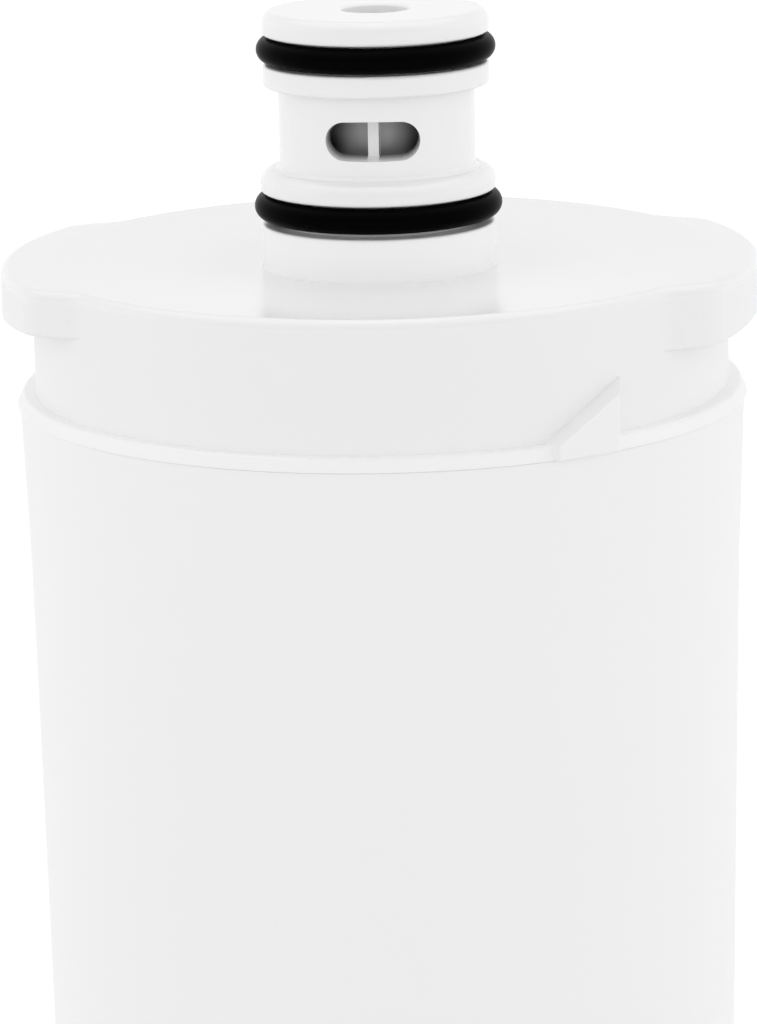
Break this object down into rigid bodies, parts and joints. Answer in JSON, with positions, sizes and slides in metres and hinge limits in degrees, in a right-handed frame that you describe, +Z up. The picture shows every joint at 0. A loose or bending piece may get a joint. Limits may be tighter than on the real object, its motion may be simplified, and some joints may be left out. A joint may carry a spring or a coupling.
{
  "type": "fridge water filter cartridge",
  "caption": "Twist-in water filter cartridge: a tapered white cup with a welded bayonet cap, a sealed spigot with side inlets and a top outlet, and a carbon block inside.",
  "frame": {"origin": "middle of the base, on the surface that the cartridge stands on", "axes": "+Z up along the cartridge's axis, lugs at +X and -X, side ports at +Y and -Y"},
  "size_m": [0.0792, 0.0766, 0.1863],
  "materials": {
    "housing_plastic": "satin moulded white",
    "cap_plastic": "gloss moulded white",
    "seal_rubber": "lubricated black",
    "pressed_carbon": "sintered grains",
    "fleece": "non-woven",
    "net_plastic": "extruded net",
    "end_cap_plastic": "moulded"
  },
  "bodies": {
    "root": {"housing": "housing_plastic", "top_cap": "cap_plastic", "upper_o_ring": "seal_rubber", "lower_o_ring": "seal_rubber", "end_cap_o_ring": "seal_rubber", "carbon_block": "pressed_carbon", "prefilter_wrap": "fleece", "outer_netting": "net_plastic", "upper_end_cap": "end_cap_plastic", "lower_end_cap": "end_cap_plastic"}
  },
  "joints": []
}
